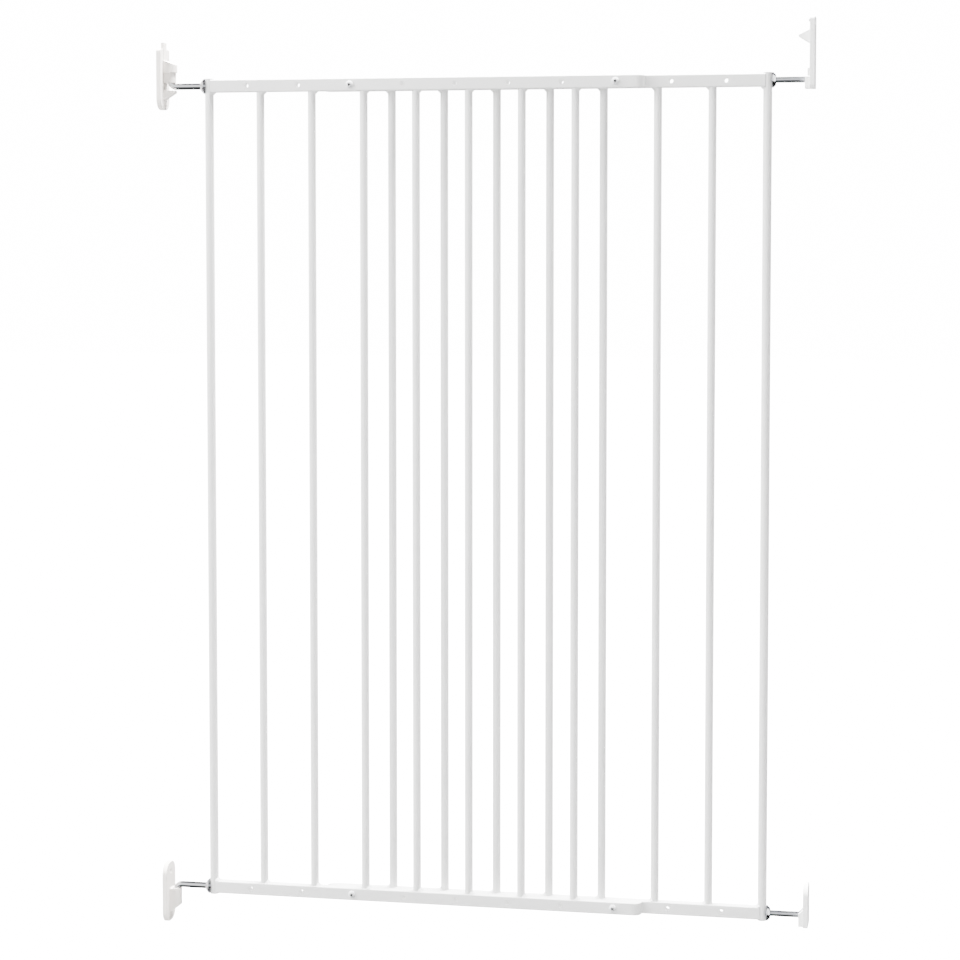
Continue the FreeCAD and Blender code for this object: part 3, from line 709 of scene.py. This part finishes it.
# A domed nut standing on the origin.
def buildCapNut():
    piece = hexagon(capNut["flats"], capNut["tall"], capNut["chamfer"])
    radius, tall = capNut["dome"] / 2, capNut["tall"]
    arc = [(radius * math.cos(angle), tall + radius * math.sin(angle))
           for angle in (math.radians(10 * step) for step in range(9))]
    start = tall - capNut["sunk"]
    dome = lathe([(0, start), (radius, start)] + arc + [(0, tall + radius)], steps=56)
    boolean(piece, dome, "UNION")
    hole = capNut["bore"] / 2
    bore = lathe([(0, -1 * mm), (hole, -1 * mm), (hole, tall), (0, tall)], steps=40)
    boolean(piece, bore, "DIFFERENCE")
    smooth(piece, angle=28)
    return piece


# Screws through the front of the rails and domed nuts behind them. The recess gets a near-black finish:
# painted shade where the recess lies in shadow.
def fitClamps():
    low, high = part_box("clamp_screws")
    reach = screw["head"] / 2
    spots = [(x, z) for x in (low.x + reach, high.x - reach) for z in (low.z + reach, high.z - reach)]
    seat = low.y + screw["tall"]
    master = buildPanScrew(high.y - seat)
    heads = []
    for index, (x, z) in enumerate(spots):
        spun = copyOf(master, "screw", (0, 0, 0), (0, 0, screw["nextTurn"] * index))
        heads.append(copyOf(spun, "screw", (x, seat, z), (math.pi / 2, 0, 0)))
        bpy.data.objects.remove(spun)
    bpy.data.objects.remove(master)
    screws = standFor(joinAll(heads, "pan_screws"), "brightZinc", "clamp_screws")
    # Faces deep in the cross recess take the near-black metal: painted shade.
    screws.data.materials.append(finish["paintedRecessShade"])
    for face in screws.data.polygons:
        out = min(math.dist(spot, (face.center.x, face.center.z)) for spot in spots)
        deep = face.center.y - low.y
        fall = 1 - math.sqrt(max(0, 1 - (out / reach) ** (2 / screw["crown"])))
        dome = screw["tall"] * screw["domed"] * fall
        if out < screw["paintedShadeReach"] * screw["slotLong"] and dome + 0.15 * mm < deep < screw["tall"]:
            face.material_index = 1
    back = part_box("clamp_cap_nuts")[0].y
    master = buildCapNut()
    caps = [copyOf(master, "cap", (x, back, z), (-math.pi / 2, 0, 0)) for x, z in spots]
    bpy.data.objects.remove(master)
    standFor(joinAll(caps, "dome_nuts"), "brightZinc", "clamp_cap_nuts")


fitClamps()
print("clamps fitted")


studio = {
    "floor": 0.2,         # how much light the floor gives back
    "glow": 17.0,         # keeps the floor white under the model
    "backdrop": 16.0,
    "sky": 1.6,
    "mirrored": 2.6,      # the sky in bright metal
    "left": 3.6,          # a softbox to the left, in bright metal
    "right": 0.08,
    "leftFade": (-0.4, -0.7),     # where each side's fade starts and ends, as the X of a direction
    "rightFade": (0.5, 0.8),
    "behind": 0.2,
    "bands": ((-160, 0.05), (-32, 0.02), (-15, 0.4), (0, 1.0), (24, 1.0), (48, 0.75), (72, 0.2),
              (100, 0.06), (160, 0.06)),
    "lamps": {"key": ((-2.8, -1.4, 2.3), 2.0, 450), "top": ((0.1, 0.25, 3.5), 1.2, 2100)},
    "aim": (0, 0, 0.55),  # the lamps point here
    "below": 0.5 * mm,    # the floor lies this far under the lowest bracket
}


def buildFloor():
    deselectAll()
    bpy.ops.mesh.primitive_plane_add(size=30, location=(0, 0, cadLow.z - studio["below"]))
    floor = bpy.context.object
    floor.name = "floor"
    floor.visible_glossy = False
    paint = bpy.data.materials.new("floorPaint")
    paint.use_nodes = True
    tree = paint.node_tree
    shader = tree.nodes["Principled BSDF"]
    shader.inputs["Base Color"].default_value = (studio["floor"],) * 3 + (1,)
    shader.inputs["Roughness"].default_value = 0.9
    shader.inputs["Emission Color"].default_value = (1, 1, 1, 1)
    path = tree.nodes.new("ShaderNodeLightPath")
    glow = addNode(tree, "ShaderNodeMath", operation="MULTIPLY")
    glow.inputs[1].default_value = studio["glow"]
    tree.links.new(path.outputs["Is Camera Ray"], glow.inputs[0])
    tree.links.new(glow.outputs["Value"], shader.inputs["Emission Strength"])
    floor.data.materials.append(paint)


# An even white sky. Bright metal mirrors it darker above, below, behind and to the right, with a softbox
# to the left. `bands` gives the mirrored brightness by the angle about X: 0 in front, 90 straight above.
def buildSky():
    world = bpy.data.worlds.new("studio")
    bpy.context.scene.world = world
    world.use_nodes = True
    tree = world.node_tree
    link = tree.links.new
    back = tree.nodes["Background"]
    back.inputs["Color"].default_value = (1, 1, 1, 1)
    path = tree.nodes.new("ShaderNodeLightPath")
    place = tree.nodes.new("ShaderNodeTexCoord")
    parts = tree.nodes.new("ShaderNodeSeparateXYZ")
    link(place.outputs["Generated"], parts.inputs["Vector"])
    front = addNode(tree, "ShaderNodeMath", operation="MULTIPLY")
    front.inputs[1].default_value = -1
    link(parts.outputs["Y"], front.inputs[0])
    angle = addNode(tree, "ShaderNodeMath", operation="ARCTAN2")
    link(parts.outputs["Z"], angle.inputs[0])
    link(front.outputs["Value"], angle.inputs[1])
    turn = tree.nodes.new("ShaderNodeMapRange")
    turn.inputs["From Min"].default_value = -math.pi
    turn.inputs["From Max"].default_value = math.pi
    link(angle.outputs["Value"], turn.inputs["Value"])
    ramp = tree.nodes.new("ShaderNodeValToRGB")
    stops = ramp.color_ramp.elements
    for degrees, shade in studio["bands"]:
        stops.new(degrees / 360 + 0.5).color = (shade, shade, shade, 1)
    link(turn.outputs["Result"], ramp.inputs["Fac"])
    for stop in (stops[0], stops[-1]):
        stop.color = (studio["behind"],) * 3 + (1,)
    fades = []
    for (near, far), start, end in ((studio["rightFade"], studio["mirrored"], studio["right"]),
                                    (studio["leftFade"], 0, 1)):
        fade = tree.nodes.new("ShaderNodeMapRange")
        for socket, value in (("From Min", near), ("From Max", far), ("To Min", start), ("To Max", end)):
            fade.inputs[socket].default_value = value
        link(parts.outputs["X"], fade.inputs["Value"])
        fades.append(fade.outputs["Result"])
    around = addNode(tree, "ShaderNodeMath", operation="MULTIPLY")
    link(ramp.outputs["Color"], around.inputs[0])
    link(fades[0], around.inputs[1])
    mirrored = addNode(tree, "ShaderNodeMix", data_type="FLOAT")
    link(fades[1], mirrored.inputs["Factor"])
    link(around.outputs["Value"], mirrored.inputs["A"])
    mirrored.inputs["B"].default_value = studio["left"]
    glossy = addNode(tree, "ShaderNodeMix", data_type="FLOAT")
    link(path.outputs["Is Glossy Ray"], glossy.inputs["Factor"])
    glossy.inputs["A"].default_value = studio["sky"]
    link(mirrored.outputs["Result"], glossy.inputs["B"])
    seen = addNode(tree, "ShaderNodeMix", data_type="FLOAT")
    link(path.outputs["Is Camera Ray"], seen.inputs["Factor"])
    link(glossy.outputs["Result"], seen.inputs["A"])
    seen.inputs["B"].default_value = studio["backdrop"]
    link(seen.outputs["Result"], back.inputs["Strength"])


def buildLamp(spot, size, power):
    deselectAll()
    bpy.ops.object.light_add(type="AREA", location=spot)
    lamp = bpy.context.object
    lamp.data.size = size
    lamp.data.energy = power
    aim = Vector(studio["aim"]) - Vector(spot)
    lamp.rotation_euler = aim.to_track_quat("-Z", "Y").to_euler()
    lamp.visible_glossy = False


buildFloor()
buildSky()
for lamp in studio["lamps"].values():
    buildLamp(*lamp)

view = {
    "spot": (0.5964, -3.0, 0.8884),
    "tilt": 86.578,
    "turn": 11.241,
    "lens": 91.26,
    "shift": -0.1,
}
deselectAll()
bpy.ops.object.camera_add(location=view["spot"],
                          rotation=(math.radians(view["tilt"]), 0, math.radians(view["turn"])))
camera = bpy.context.object
camera.data.lens = view["lens"]
camera.data.shift_y = view["shift"]
bpy.context.scene.camera = camera
print("studio ready")

deselectAll()
